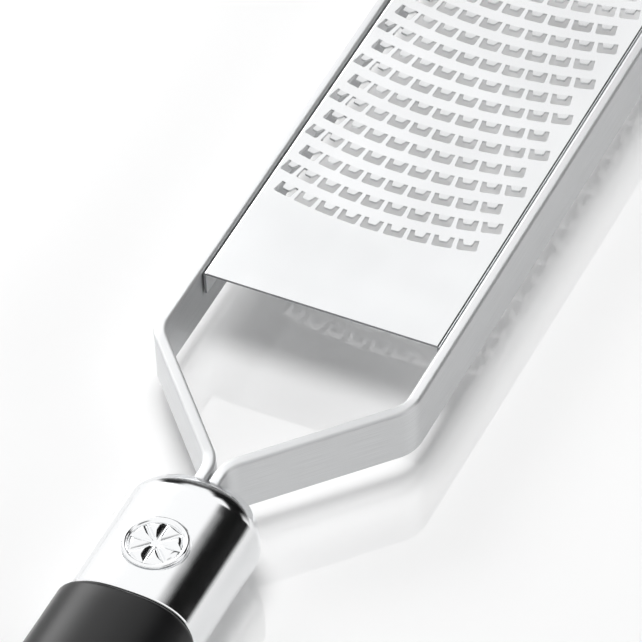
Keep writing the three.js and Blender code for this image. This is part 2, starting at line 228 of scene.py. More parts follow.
def bright_rolled_sheet():
    # Bright-annealed stainless sheet: nearly a mirror, with faint rolling lines and a broad cloudiness.
    # The rolling lines are drawn 0.25 mm wide, coarser than real ones, so that they show.
    material, tree, shader = start_material("bright_rolled_sheet")
    shader.inputs["Metallic"].default_value = 1.0
    place = add(tree, "ShaderNodeTexCoord")
    stretch = add(tree, "ShaderNodeMapping", [("Vector", place, "Object")])
    stretch.inputs["Scale"].default_value = (per_metre(20.0), per_metre(0.25), per_metre(0.25))
    lines = add(tree, "ShaderNodeTexNoise", [("Vector", stretch, "Vector")], Scale=1.0, Detail=3.0)
    gloss = add(tree, "ShaderNodeMapRange", [("Value", lines, "Fac")])
    gloss.inputs["To Min"].default_value = 0.14
    gloss.inputs["To Max"].default_value = 0.24
    clouds = add(tree, "ShaderNodeTexNoise", [("Vector", place, "Object")], Scale=per_metre(24.0), Detail=2.0)
    tone = add(tree, "ShaderNodeMix", [("Factor", clouds, "Fac")], data_type="RGBA")
    tone.inputs[COLOUR_A].default_value = colour("#DEDFE0")
    tone.inputs[COLOUR_B].default_value = colour("#F4F5F6")
    tree.links.new(tone.outputs[COLOUR_RESULT], shader.inputs["Base Color"])
    tree.links.new(gloss.outputs["Result"], shader.inputs["Roughness"])
    return material


def sheared_edge_painted_shade():
    # Ends of the sheet left by the shear: matt and torn. Their dark grey is partly painted shade, standing in
    # for the shadowed end faces and gaps at the sheet's ends.
    material, tree, shader = start_material("sheared_edge_painted_shade")
    shader.inputs["Metallic"].default_value = 1.0
    place = add(tree, "ShaderNodeTexCoord")
    pits = add(tree, "ShaderNodeTexNoise", [("Vector", place, "Object")], Scale=per_metre(0.3), Detail=3.0)
    tone = add(tree, "ShaderNodeMix", [("Factor", pits, "Fac")], data_type="RGBA")
    tone.inputs[COLOUR_A].default_value = colour("#76777A")
    tone.inputs[COLOUR_B].default_value = colour("#98999B")
    shader.inputs["Roughness"].default_value = 0.5
    tree.links.new(tone.outputs[COLOUR_RESULT], shader.inputs["Base Color"])
    return material


def mirror_polished_casting():
    # Cast stainless, buffed to a mirror: crisp reflections that waver a little where the buff pressed.
    material, tree, shader = start_material("mirror_polished_casting")
    shader.inputs["Base Color"].default_value = colour("#F4F5F6")
    shader.inputs["Metallic"].default_value = 1.0
    place = add(tree, "ShaderNodeTexCoord")
    waver = add(tree, "ShaderNodeTexNoise", [("Vector", place, "Object")], Scale=per_metre(9.0), Detail=1.0)
    haze = add(tree, "ShaderNodeTexNoise", [("Vector", place, "Object")], Scale=per_metre(2.5), Detail=5.0)
    gloss = add(tree, "ShaderNodeMapRange", [("Value", haze, "Fac")])
    gloss.inputs["To Min"].default_value = 0.07
    gloss.inputs["To Max"].default_value = 0.14
    relief = add(tree, "ShaderNodeBump", [("Height", waver, "Fac")], Strength=0.25, Distance=0.0001)
    tree.links.new(gloss.outputs["Result"], shader.inputs["Roughness"])
    tree.links.new(relief.outputs["Normal"], shader.inputs["Normal"])
    return material


def moulded_black_plastic():
    # ABS from a spark-eroded mould: an even, very fine grain that turns gloss into a broad soft sheen.
    # The grain is drawn 0.35 mm wide, a few times coarser than it is, so that it shows.
    material, tree, shader = start_material("moulded_black_plastic")
    place = add(tree, "ShaderNodeTexCoord")
    grain = add(tree, "ShaderNodeTexNoise", [("Vector", place, "Object")], Scale=per_metre(0.35), Detail=3.0)
    wear = add(tree, "ShaderNodeTexNoise", [("Vector", place, "Object")], Scale=per_metre(18.0), Detail=2.0)
    tone = add(tree, "ShaderNodeMix", [("Factor", wear, "Fac")], data_type="RGBA")
    tone.inputs[COLOUR_A].default_value = colour("#0C0C0D")
    tone.inputs[COLOUR_B].default_value = colour("#121213")
    gloss = add(tree, "ShaderNodeMapRange", [("Value", wear, "Fac")])
    gloss.inputs["To Min"].default_value = 0.30
    gloss.inputs["To Max"].default_value = 0.38
    shader.inputs["Specular IOR Level"].default_value = 0.34
    relief = add(tree, "ShaderNodeBump", [("Height", grain, "Fac")], Strength=0.15, Distance=0.00004)
    tree.links.new(tone.outputs[COLOUR_RESULT], shader.inputs["Base Color"])
    tree.links.new(gloss.outputs["Result"], shader.inputs["Roughness"])
    tree.links.new(relief.outputs["Normal"], shader.inputs["Normal"])
    return material


def moulded_silicone():
    # Silicone rubber from a matt mould: dull, with a fine tooth that keeps dust.
    # The tooth is drawn 0.5 mm wide, coarser than it is, so that it shows.
    material, tree, shader = start_material("moulded_silicone")
    place = add(tree, "ShaderNodeTexCoord")
    grain = add(tree, "ShaderNodeTexNoise", [("Vector", place, "Object")], Scale=per_metre(0.5), Detail=4.0)
    tone = add(tree, "ShaderNodeMix", [("Factor", grain, "Fac")], data_type="RGBA")
    tone.inputs[COLOUR_A].default_value = colour("#202021")
    tone.inputs[COLOUR_B].default_value = colour("#2A2A2B")
    relief = add(tree, "ShaderNodeBump", [("Height", grain, "Fac")], Strength=0.3, Distance=0.00005)
    shader.inputs["Roughness"].default_value = 0.72
    tree.links.new(tone.outputs[COLOUR_RESULT], shader.inputs["Base Color"])
    tree.links.new(relief.outputs["Normal"], shader.inputs["Normal"])
    return material


def glass_filled_nylon():
    # Nylon with short glass fibre: grey-black, mottled where the fibres reach the skin.
    material, tree, shader = start_material("glass_filled_nylon")
    place = add(tree, "ShaderNodeTexCoord")
    mottle = add(tree, "ShaderNodeTexNoise", [("Vector", place, "Object")], Scale=per_metre(1.2), Detail=5.0)
    tone = add(tree, "ShaderNodeMix", [("Factor", mottle, "Fac")], data_type="RGBA")
    tone.inputs[COLOUR_A].default_value = colour("#2E3033")
    tone.inputs[COLOUR_B].default_value = colour("#3C3E42")
    shader.inputs["Roughness"].default_value = 0.6
    tree.links.new(tone.outputs[COLOUR_RESULT], shader.inputs["Base Color"])
    return material


def drawn_pin_steel():
    # Drawn stainless wire: fine die lines along the pin, drawn 0.2 mm wide so that they show.
    material, tree, shader = start_material("drawn_pin_steel")
    shader.inputs["Base Color"].default_value = colour("#C2C4C6")
    shader.inputs["Metallic"].default_value = 1.0
    place = add(tree, "ShaderNodeTexCoord")
    stretch = add(tree, "ShaderNodeMapping", [("Vector", place, "Object")])
    stretch.inputs["Scale"].default_value = (per_metre(0.2), per_metre(6.0), per_metre(0.2))
    lines = add(tree, "ShaderNodeTexNoise", [("Vector", stretch, "Vector")], Scale=1.0, Detail=3.0)
    gloss = add(tree, "ShaderNodeMapRange", [("Value", lines, "Fac")])
    gloss.inputs["To Min"].default_value = 0.25
    gloss.inputs["To Max"].default_value = 0.42
    tree.links.new(gloss.outputs["Result"], shader.inputs["Roughness"])
    return material


# Mesh tools

def make_mesh(name, points, faces, material):
    """A smooth mesh object from millimetre points."""
    mesh = bpy.data.meshes.new(name)
    mesh.from_pydata([((x - PART_MIDDLE) * MM, y * MM, z * MM) for x, y, z in points], [], faces)
    mesh.update()
    outward = bmesh.new()
    outward.from_mesh(mesh)
    bmesh.ops.recalc_face_normals(outward, faces=outward.faces)
    outward.to_mesh(mesh)
    outward.free()
    mesh.polygons.foreach_set("use_smooth", [True] * len(mesh.polygons))
    mesh.materials.append(material)
    made = bpy.data.objects.new(name, mesh)
    bpy.context.collection.objects.link(made)
    return made


def make_piece(name, points, faces, material, node):
    """A mesh that rides on the body in the place of its solid."""
    piece = make_mesh(name, points, faces, material)
    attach(piece, "root")
    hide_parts(node)
    return piece


def skin(rings):
    """Quads between rings of equal length, with a face on each end."""
    count = len(rings[0])
    points = [p for ring in rings for p in ring]
    faces = []
    for r in range(len(rings) - 1):
        for i in range(count):
            j = (i + 1) % count
            faces.append((r * count + i, r * count + j, (r + 1) * count + j, (r + 1) * count + i))
    faces.append(tuple(range(count)))
    faces.append(tuple(range(len(points) - count, len(points))))
    return points, faces


def even_normals(piece):
    piece.modifiers.new("even_normals", "WEIGHTED_NORMAL")


def arc(cx, cy, radius, start, end, steps):
    turns = [start + (end - start) * i / steps for i in range(steps + 1)]
    return [(cx + radius * math.cos(a), cy + radius * math.sin(a)) for a in turns]


def rounded_rectangle(half_width, half_height, radius, steps):
    x, y = half_width - radius, half_height - radius
    outline = []
    for i, (cx, cy) in enumerate(((x, y), (-x, y), (-x, -y), (x, -y))):
        outline += arc(cx, cy, radius, i * QUARTER, (i + 1) * QUARTER, steps)
    return outline


def bent_line(corners, step_angle):
    """Corners (x, y, bend radius) as points along the strip's middle: (x, y, heading)."""
    straight = 1e-6
    line = []
    for i, (x, y, radius) in enumerate(corners):
        before = after = None
        if i > 0:
            before = math.atan2(y - corners[i - 1][1], x - corners[i - 1][0])
        if i + 1 < len(corners):
            after = math.atan2(corners[i + 1][1] - y, corners[i + 1][0] - x)
        before = after if before is None else before
        after = before if after is None else after
        turn = math.atan2(math.sin(after - before), math.cos(after - before))
        if abs(turn) < straight:
            line.append((x, y, before))
            continue
        side = math.copysign(1.0, turn)
        run = radius * math.tan(abs(turn) / 2)
        cx = x - run * math.cos(before) - side * radius * math.sin(before)
        cy = y - run * math.sin(before) + side * radius * math.cos(before)
        steps = math.ceil(abs(turn) / step_angle)
        for k in range(steps + 1):
            at = before + turn * k / steps
            line.append((cx + side * radius * math.sin(at), cy - side * radius * math.cos(at), at))
    return line


def oval(x, half_width, half_height, count):
    """A ring of the handle: an oval that is fuller than an ellipse."""
    ring = []
    for i in range(count):
        a = 2 * math.pi * (i + 0.5) / count
        c, s = math.cos(a), math.sin(a)
        y = half_width * math.copysign(abs(c) ** (2 / SECTION_POWER), c)
        z = half_height * math.copysign(abs(s) ** (2 / SECTION_POWER), s)
        ring.append((x, y, HANDLE_AXIS + z))
    return ring


def mark_sharp(mesh, angle):
    edges = bmesh.new()
    edges.from_mesh(mesh)
    for edge in edges.edges:
        edge.smooth = len(edge.link_faces) == 2 and edge.calc_face_angle(0.0) < angle
    edges.to_mesh(mesh)
    edges.free()


def cut(piece, *tools):
    """Takes the tools' volume out of the piece and marks the new edges sharp."""
    for tool in tools:
        step = piece.modifiers.new("cut", "BOOLEAN")
        step.operation = "DIFFERENCE"
        step.solver = "EXACT"
        step.object = tool
    shaped = bpy.data.meshes.new_from_object(piece.evaluated_get(bpy.context.evaluated_depsgraph_get()))
    piece.modifiers.clear()
    old = piece.data
    piece.data = shaped
    bpy.data.meshes.remove(old)
    for tool in tools:
        bpy.data.objects.remove(tool)
    mark_sharp(shaped, CUT_SHARP_ANGLE)


def make_bore(start, end, material):
    """The tool that hollows the handle for the cheeks and the strip ends."""
    section = rounded_rectangle(BORE_HALF_WIDTH, BORE_HALF_HEIGHT, BORE_ROUND, BORE_STEPS)
    rings = [[(x, y, STRIP_MIDDLE + z) for y, z in section] for x in (start, end)]
    return make_mesh("bore", *skin(rings), material)


# Frame: a brushed flat strip on edge, its edges rounded off by tumbling

def make_frame(material):
    corners = STRIP_CORNERS + [(x, -y, r) for x, y, r in reversed(STRIP_CORNERS)]
    line = bent_line(corners, BEND_STEP)
    section = rounded_rectangle(STRIP_THICKNESS / 2, STRIP_HEIGHT / 2, STRIP_EDGE, STRIP_EDGE_STEPS)
    rings = []
    for x, y, heading in line:
        across_x, across_y = -math.sin(heading), math.cos(heading)
        rings.append([(x + n * across_x, y + n * across_y, STRIP_MIDDLE + z) for n, z in section])
    points, faces = skin(rings)
    piece = make_piece("frame_strip", points, faces, material, "frame_bar")
    even_normals(piece)

    # Lengths along the strip and round its section, so that the brush lines follow the bends
    travelled = [0.0]
    for (x0, y0, _), (x1, y1, _) in zip(line, line[1:]):
        travelled.append(travelled[-1] + math.hypot(x1 - x0, y1 - y0))
    around = [0.0]
    for (n0, z0), (n1, z1) in zip(section, section[1:] + section[:1]):
        around.append(around[-1] + math.hypot(n1 - n0, z1 - z0))
    layer = piece.data.uv_layers.new(name="along_strip")
    count = len(section)
    for polygon in piece.data.polygons:
        columns = [i % count for i in polygon.vertices]
        wraps = len(columns) == 4 and max(columns) - min(columns) > 1
        for corner, vertex, column in zip(polygon.loop_indices, polygon.vertices, columns):
            far_column = count if wraps and column == 0 else column
            layer.data[corner].uv = (travelled[vertex // count] * MM, around[far_column] * MM)


# Blade: a thin sheet folded down each side, with rows of etched openings and a bent-up tongue in each

# Shares of the tongue's length, each with what the rounded tip takes off both sides in millimetres
TONGUE_STEPS = [(0.0, 0.0), (0.25, 0.0), (0.5, 0.0), (0.75, 0.0), (0.92, 0.03), (1.0, 0.15)]
TONGUE_BEND = 0.1


def tooth_places(half_width):
    """Each tooth's x, y, turn, share of the full width, shift away from the sheet's side and rise."""
    tooth_pitch = 2 * half_width / PITCHES_ACROSS
    row_pitch = (BLADE_LENGTH - FIRST_ROW - LAST_ROW_MARGIN) / (ROW_COUNT - 1)
    for row in range(ROW_COUNT):
        count = TEETH_IN_WIDE_ROW - 1 + row % 2
        rise = TONGUE_RISE if row else FIRST_ROW_RISE
        for i in range(count):
            turn = (i - (count - 1) / 2) * tooth_pitch / ROW_ARC_RADIUS
            x = FIRST_ROW + row * row_pitch + ROW_ARC_RADIUS * (1 - math.cos(turn))
            y = PATTERN_SHIFT + ROW_ARC_RADIUS * math.sin(turn)
            corner = abs(y) + OPENING_LENGTH / 2 * abs(math.sin(turn))
            room = (half_width - TOOTH_EDGE_MARGIN - corner) / math.cos(turn)
            lost = max(0.0, OPENING_WIDTH / 2 - room)
            yield x, y, turn, 1 - lost / OPENING_WIDTH, -math.copysign(lost / 2, y), rise


def opening_outline():
    """The three cut sides of an opening, from one end of the tongue's fold to the other."""
    root, side = OPENING_LENGTH / 2, OPENING_WIDTH / 2
    near, middle = OPENING_ROUND - root, side - OPENING_ROUND
    return ([(root, -side)]
            + arc(near, -middle, OPENING_ROUND, -QUARTER, -2 * QUARTER, OPENING_STEPS)
            + arc(near, middle, OPENING_ROUND, 2 * QUARTER, QUARTER, OPENING_STEPS)
            + [(root, side)])


def make_blade(material, edge_material):
    top = RAIL_TOP - BLADE_DROP
    half_width = RAIL_SPACING / 2 - BLADE_SIDE_GAP
    flat_edge = half_width - FOLD_RADIUS
    root = OPENING_LENGTH / 2
    reach = OPENING_LENGTH - TONGUE_GAP
    points, faces = [], []
    holes, sheared_faces = [], []

    def add_pair(x, y, rise):
        points.extend([(x, y, top + rise), (x, y, top + rise - SHEET_THICKNESS)])
        return len(points) - 2

    def walls(line):
        for a, b in zip(line, line[1:]):
            faces.append((a, b, b + 1, a + 1))

    def sheared_walls(line):
        sheared_faces.extend(range(len(faces), len(faces) + len(line) - 1))
        walls(line)

    def both_faces(first, second):
        for a, b, c, d in zip(first, first[1:], second[1:], second):
            faces.append((a, b, c, d))
            faces.append((d + 1, c + 1, b + 1, a + 1))

    opening = opening_outline()
    for x, y, turn, narrowing, inward, rise in tooth_places(half_width):
        def place(p, width, lift):
            q = inward + width * narrowing
            return add_pair(x + p * math.cos(turn) + q * math.sin(turn),
                            y - p * math.sin(turn) + q * math.cos(turn), lift)

        outline = [place(p, q, 0.0) for p, q in opening]
        left, right = [], []
        for along, trim in TONGUE_STEPS:
            half = (TONGUE_ROOT + (TONGUE_TIP - TONGUE_ROOT) * along) / 2 - trim
            lift = rise * ((1 - TONGUE_BEND) * along + TONGUE_BEND * along * along)
            left.append(place(root - reach * along, half, lift))
            right.append(place(root - reach * along, -half, lift))
        walls([right[0]] + outline + [left[0]])
        walls(left + right[::-1])
        both_faces(left, right)
        holes.append(outline + [left[0], right[0]])

    rim_corners = ((0, -flat_edge), (BLADE_LENGTH, -flat_edge), (BLADE_LENGTH, flat_edge), (0, flat_edge))
    rim = [add_pair(x, y, 0.0) for x, y in rim_corners]
    loops = [rim] + holes
    order = [i for loop in loops for i in loop]
    for triangle in tessellate_polygon([[Vector(points[i]) for i in loop] for loop in loops]):
        a, b, c = (order[i] for i in triangle)
        faces.append((a, b, c))
        faces.append((c + 1, b + 1, a + 1))

    fold = top - FOLD_RADIUS
    foot = top - SHEET_THICKNESS - FLANGE_DEPTH
    outer = arc(flat_edge, fold, FOLD_RADIUS, QUARTER, 0, FOLD_STEPS)[1:]
    inner = arc(flat_edge, fold, FOLD_RADIUS - SHEET_THICKNESS, QUARTER, 0, FOLD_STEPS)[1:]
    outer.append((half_width, foot))
    inner.append((half_width - SHEET_THICKNESS, foot))
    for side, near, far in ((-1, rim[0], rim[1]), (1, rim[3], rim[2])):
        ends = []
        for x, start in ((0, near), (BLADE_LENGTH, far)):
            line = [start]
            for (y0, z0), (y1, z1) in zip(outer, inner):
                points.extend([(x, side * y0, z0), (x, side * y1, z1)])
                line.append(len(points) - 2)
            sheared_walls(line)
            ends.append(line)
        both_faces(*ends)
        faces.append((ends[0][-1], ends[0][-1] + 1, ends[1][-1] + 1, ends[1][-1]))
    sheared_walls([rim[0], rim[3]])
    sheared_walls([rim[1], rim[2]])
    piece = make_piece("etched_blade", points, faces, material, "grating_blade")
    mark_sharp(piece.data, BLADE_SHARP_ANGLE)
    # The sheet's end faces take the dark edge material, whose dark grey is partly painted shade
    piece.data.materials.append(edge_material)
    for i in sheared_faces:
        piece.data.polygons[i].material_index = 1


# Bolster: a polished casting with a domed nose, a slot for the strip ends and a seat for the medallion

def make_bolster(material):
    rings = []

    def add_ring(x, scale=1.0, inset=0.0):
        half_width = BOLSTER_HALF_WIDTH * scale - inset
        half_height = BOLSTER_HALF_HEIGHT * scale - inset
        rings.append(oval(x, half_width, half_height, BOLSTER_POINTS))

    body_start = BOLSTER_REAR + BOLSTER_REAR_EDGE
    body_length = BOLSTER_LENGTH - NOSE_LENGTH - BOLSTER_REAR_EDGE
    body_steps = 12
    nose_steps = 40
    add_ring(BOLSTER_REAR, inset=BOLSTER_REAR_EDGE)
    for i in range(body_steps):
        add_ring(body_start + body_length * i / body_steps)
    for i in range(nose_steps):
        reach = math.sin(QUARTER * i / nose_steps)
        add_ring(NOSE_TIP - NOSE_LENGTH + NOSE_LENGTH * reach, (1 - reach ** NOSE_POWER) ** (1 / NOSE_POWER))
    points, faces = skin(rings)
    piece = make_piece("bolster_casting", points, faces, material, "front_bolster")

    mouth = [p for p in bent_line(STRIP_CORNERS[:3], MOUTH_STEP) if p[0] < NOSE_TIP + NOSE_LENGTH]
    reach = STRIP_THICKNESS / 2 + CHEEK_GAP
    right_side = [(x + reach * math.sin(h), y - reach * math.cos(h)) for x, y, h in mouth]
    outline = right_side + [(x, -y) for x, y in reversed(right_side)]
    levels = (TABLE_GAP - CHEEK_GAP, RAIL_TOP + CHEEK_GAP)
    slot = make_mesh("slot", *skin([[(x, y, z) for x, y in outline] for z in levels]), material)

    bore_end = BOLSTER_REAR + CHEEK_IN_BOLSTER + CHEEK_GAP
    bore = make_bore(BOLSTER_REAR - CUT_OVERRUN, bore_end, material)

    seat_radius = MEDALLION_RADIUS + MEDALLION_GAP
    seat_outline = arc(MEDALLION_CENTRE, 0, seat_radius, 0, 4 * QUARTER, SEAT_POINTS)[:-1]
    levels = (MEDALLION_SEAT, MEDALLION_SEAT + MEDALLION_SINK + CUT_OVERRUN)
    seat = make_mesh("seat", *skin([[(x, y, z) for x, y in seat_outline] for z in levels]), material)
    cut(piece, slot, bore, seat)


# Medallion: a cut fruit with a rim and raised segments

def make_medallion(material):
    rim_width = 0.9
    rim_crown = 0.9
    rim_gap = 0.3
    floor, rim = 1.05, 1.5
    groove = 0.15
    core = 0.9
    segments = 8
    segment_gap = 0.14
    segment_slope = 1.1
    segment_rise = 0.75
    radial, angular = 44, 256

    def height(r, a):
        if r > MEDALLION_RADIUS - rim_width:
            across = (r - (MEDALLION_RADIUS - rim_width / 2)) / (rim_width / 2)
            return floor + (rim - floor) * math.sqrt(max(0.0, 1 - across * across * rim_crown))
        phase = (a / (2 * math.pi) * segments) % 1.0 - 0.5
        side = r * abs(phase) * 2 * math.pi / segments
        half = r * math.pi / segments
        inside = min(half - side - segment_gap, r - core, MEDALLION_RADIUS - rim_width - rim_gap - r)
        fullness = min(1.0, max(0.0, inside / segment_slope))
        return floor - groove + segment_rise * fullness * (2 - fullness)

    rings = []
    for k in range(1, radial + 1):
        r = MEDALLION_RADIUS * k / radial
        ring = []
        for i in range(angular):
            a = 2 * math.pi * i / angular
            ring.append((MEDALLION_CENTRE + r * math.cos(a), r * math.sin(a), MEDALLION_SEAT + height(r, a)))
        rings.append(ring)
    rings.append([(x, y, MEDALLION_SEAT) for x, y, _ in rings[-1]])
    points, faces = skin(rings)
    make_piece("fruit_medallion", points, faces, material, "bolster_medallion")


# Grip: a moulded oval bar with a rounded shoulder at the bolster and a domed butt

def make_grip(material):
    butt_scale, butt_power = 0.93, 2.2
    shoulder_scale = 0.985
    butt_steps, swell_steps, shoulder_steps = 24, 6, 8
    # Share of the length from the rear, and share of the full section there
    swell = [
        (GRIP_BUTT / GRIP_LENGTH, butt_scale),
        (0.3, 0.955),
        (0.42, 0.985),
        (0.54, 1.0),
        (0.66, 1.0),
        (0.8, 0.99),
        (1 - GRIP_SHOULDER / GRIP_LENGTH, shoulder_scale),
    ]
    rings = []

    def add_ring(x, scale, inset=0.0):
        rings.append(oval(x, scale * GRIP_HALF_WIDTH - inset, scale * GRIP_HALF_HEIGHT - inset, GRIP_POINTS))

    for i in range(1, butt_steps + 1):
        back = math.cos(QUARTER * i / butt_steps)
        scale = butt_scale * (1 - back ** butt_power) ** (1 / butt_power)
        add_ring(GRIP_REAR + GRIP_BUTT * (1 - back), scale)
    for (s0, k0), (s1, k1) in zip(swell, swell[1:]):
        for i in range(1, swell_steps + 1):
            t = i / swell_steps
            add_ring(GRIP_REAR + (s0 + (s1 - s0) * t) * GRIP_LENGTH, k0 + (k1 - k0) * t)
    for i in range(1, shoulder_steps + 1):
        turn = QUARTER * i / shoulder_steps
        x = GRIP_FRONT - GRIP_SHOULDER * (1 - math.sin(turn))
        add_ring(x, shoulder_scale, inset=GRIP_SHOULDER * (1 - math.cos(turn)))
    points, faces = skin(rings)
    piece = make_piece("moulded_grip", points, faces, material, "grip")
    cut(piece, make_bore(TANG_END - CHEEK_GAP, GRIP_FRONT + CUT_OVERRUN, material))


# Shoe: a soft channel pushed up over the far cross bar

def make_shoe(material):
    inner = STRIP_THICKNESS / 2 + SHOE_GAP
    top = TABLE_GAP + SHOE_GRIP
    floor = TABLE_GAP - SHOE_GAP
    foot, lip = SHOE_FOOT_ROUND, SHOE_WALL / 2
    foot_steps, lip_steps = 6, 8
    outline = (arc(SHOE_HALF - foot, foot, foot, -QUARTER, 0, foot_steps)
               + arc(SHOE_HALF - lip, top - lip, lip, 0, 2 * QUARTER, lip_steps)
               + [(inner, floor), (-inner, floor)]
               + arc(lip - SHOE_HALF, top - lip, lip, 0, 2 * QUARTER, lip_steps)
               + arc(foot - SHOE_HALF, foot, foot, 2 * QUARTER, 3 * QUARTER, foot_steps))
    half_length = RAIL_LINE - END_RADIUS - SHOE_END_MARGIN
    rings = [[(CROSS_BAR + x, y, z) for x, z in outline] for y in (-half_length, half_length)]
    points, faces = skin(rings)
    piece = make_piece("soft_shoe", points, faces, material, "tip_foot")
    rounding = piece.modifiers.new("rounding", "BEVEL")
    rounding.width = SHOE_END_ROUND * MM
    rounding.segments = 3
    rounding.limit_method = "ANGLE"
    rounding.angle_limit = math.radians(40)
    even_normals(piece)


polished = mirror_polished_casting()
nylon = glass_filled_nylon()
pin_steel = drawn_pin_steel()

make_frame(brushed_stainless_strip())
make_blade(bright_rolled_sheet(), sheared_edge_painted_shade())
make_bolster(polished)
make_medallion(polished)
make_grip(moulded_black_plastic())
make_shoe(moulded_silicone())

for node, material in [
    ("tang_cheek_left", nylon),
    ("tang_cheek_right", nylon),
    ("tang_pin_front", pin_steel),
    ("tang_pin_middle", pin_steel),
    ("tang_pin_rear", pin_steel),
]:
    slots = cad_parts[node].data.materials
    slots.clear()
    slots.append(material)


# Table and room, sizes in metres

TABLE_REACH = 2.0
TABLE_WHITER = 0.12
LACQUER_SHARE = 0.12
ROOM_ON_SURFACES = 0.11
ROOM_SEEN = 1.06


def add_stage(name, mesh, material):
    mesh.materials.append(material)
    prop = bpy.data.objects.new(name, mesh)
    bpy.context.collection.objects.link(prop)
    return prop


def seen_rays(tree):
    """1 for what the camera sees, straight or in metal or glass, and 0 for light that falls on surfaces."""
    path = add(tree, "ShaderNodeLightPath")
    mirrored = add(tree, "ShaderNodeMath", [(0, path, "Is Glossy Ray"), (1, path, "Is Transmission Ray")],
                   operation="MAXIMUM")
    return add(tree, "ShaderNodeMath", [(0, path, "Is Camera Ray"), (1, mirrored, "Value")],
               operation="MAXIMUM")


def white_lacquered_board():
    # Satin white board with a faint clear gloss, shown a little whiter than it is lit.
    material, tree, shader = start_material("white_lacquered_board")
    shader.inputs["Base Color"].default_value = colour("#F3F3F3")
    shader.inputs["Specular IOR Level"].default_value = 0.0
    shader.inputs["Emission Color"].default_value = colour("#FFFFFF")
    whiter = add(tree, "ShaderNodeMapRange", [("Value", seen_rays(tree), "Value")])
    whiter.inputs["To Min"].default_value = 0.0
    whiter.inputs["To Max"].default_value = TABLE_WHITER
    tree.links.new(whiter.outputs["Result"], shader.inputs["Emission Strength"])
    gloss = add(tree, "ShaderNodeBsdfGlossy", Color=colour("#FFFFFF"), Roughness=0.03)
    lacquer = add(tree, "ShaderNodeMixShader", [(1, shader, "BSDF"), (2, gloss, "BSDF")], Fac=LACQUER_SHARE)
    tree.links.new(lacquer.outputs["Shader"], tree.nodes["Material Output"].inputs["Surface"])
    return material


def make_table():
    reach = TABLE_REACH
    corners = [(-reach, -reach, 0), (reach, -reach, 0), (reach, reach, 0), (-reach, reach, 0)]
    mesh = bpy.data.meshes.new("table")
    mesh.from_pydata(corners, [], [(0, 1, 2, 3)])
    add_stage("table", mesh, white_lacquered_board())


def make_room():
    world = bpy.data.worlds.new("studio")
    bpy.context.scene.world = world
    world.use_nodes = True
    tree = world.node_tree
    white = tree.nodes["Background"]
    brightness = add(tree, "ShaderNodeMapRange", [("Value", seen_rays(tree), "Value")])
    brightness.inputs["To Min"].default_value = ROOM_ON_SURFACES
    brightness.inputs["To Max"].default_value = ROOM_SEEN
    white.inputs["Color"].default_value = colour("#FFFFFF")
    tree.links.new(brightness.outputs["Result"], white.inputs["Strength"])


# Studio flags: soft-edged black cloths around the tip and the right side that only mirror surfaces see.
# Places are in degrees: turn counts from the tip to the left, height from the table up, and swing is the
# angle to the tool's own line. Each pair gives where a soft edge is black and where it is clear.

FLAG_RADIUS = 1.0
FLAG_TURNS = range(-148, 45, 2)
FLAG_HEIGHTS = range(0, 67, 2)
AHEAD_TOP = 30
AHEAD_TOP_SOFT = 4
AHEAD_RISE, AHEAD_RISE_FROM = 0.68, 4
AHEAD_FALL, AHEAD_FALL_FROM = 3, 12
AHEAD_RIGHT_EDGE = (-56, -70)
POCKET_CLEAR = 0.8
POCKET_TURN = (-44, -22)
POCKET_HEIGHT = (18, 27)
SIDE_INNER_EDGE = (51, 46)
SIDE_OUTER_EDGE = (62, 68)
SIDE_LEFT_EDGE = (-11, 5)
SIDE_TOP_EDGE = (53, 63)
BEHIND_SHADE = 0.8
BEHIND_TOP_EDGE = (26, 44)
BEHIND_FRONT_EDGE = (-106, -90)
BEHIND_REAR_EDGE = (-126, -146)
HORIZON_TOP = 14
HORIZON_STEP_UP = 9
HORIZON_STEP = (27, 22)
HORIZON_BLACK_BELOW, HORIZON_CLEAR_ABOVE = 3, 2
HORIZON_LEFT_EDGE = (34, 42)
HORIZON_RIGHT_EDGE = (8, 0)
FOOT_RIGHT_FROM = -46
FOOT_RIGHT_EDGE = (13, -5)
FOOT_LEFT_EDGE = (13, -24)


def fade(value, full, gone):
    """1 at full, 0 at gone, smooth between."""
    t = min(1.0, max(0.0, (value - gone) / (full - gone)))
    return t * t * (3 - 2 * t)


def flag_darkness(turn, height):
    """How black the flags are in a direction, from 0 to 1."""
    top = (AHEAD_TOP + AHEAD_RISE * max(0, AHEAD_RISE_FROM - turn)
           - AHEAD_FALL * max(0, turn - AHEAD_FALL_FROM))
    pocket = POCKET_CLEAR * fade(turn, *POCKET_TURN) * fade(height, *POCKET_HEIGHT)
    ahead = (fade(height, top - AHEAD_TOP_SOFT, top + AHEAD_TOP_SOFT)
             * fade(turn, *AHEAD_RIGHT_EDGE) * (1 - pocket))
    swing = math.degrees(math.acos(math.cos(math.radians(height)) * math.cos(math.radians(turn))))
    side = (fade(swing, *SIDE_INNER_EDGE) * fade(swing, *SIDE_OUTER_EDGE)
            * fade(turn, *SIDE_LEFT_EDGE) * fade(height, *SIDE_TOP_EDGE))
    behind = (BEHIND_SHADE * fade(height, *BEHIND_TOP_EDGE)
              * fade(turn, *BEHIND_FRONT_EDGE) * fade(turn, *BEHIND_REAR_EDGE))
    rim = HORIZON_TOP + HORIZON_STEP_UP * fade(turn, *HORIZON_STEP)
    horizon = (fade(height, rim - HORIZON_BLACK_BELOW, rim + HORIZON_CLEAR_ABOVE)
               * fade(turn, *HORIZON_LEFT_EDGE) * fade(turn, *HORIZON_RIGHT_EDGE))
    foot = FOOT_RIGHT_EDGE if turn < FOOT_RIGHT_FROM else FOOT_LEFT_EDGE
    return max(ahead, side, behind, horizon) * fade(height, *foot)


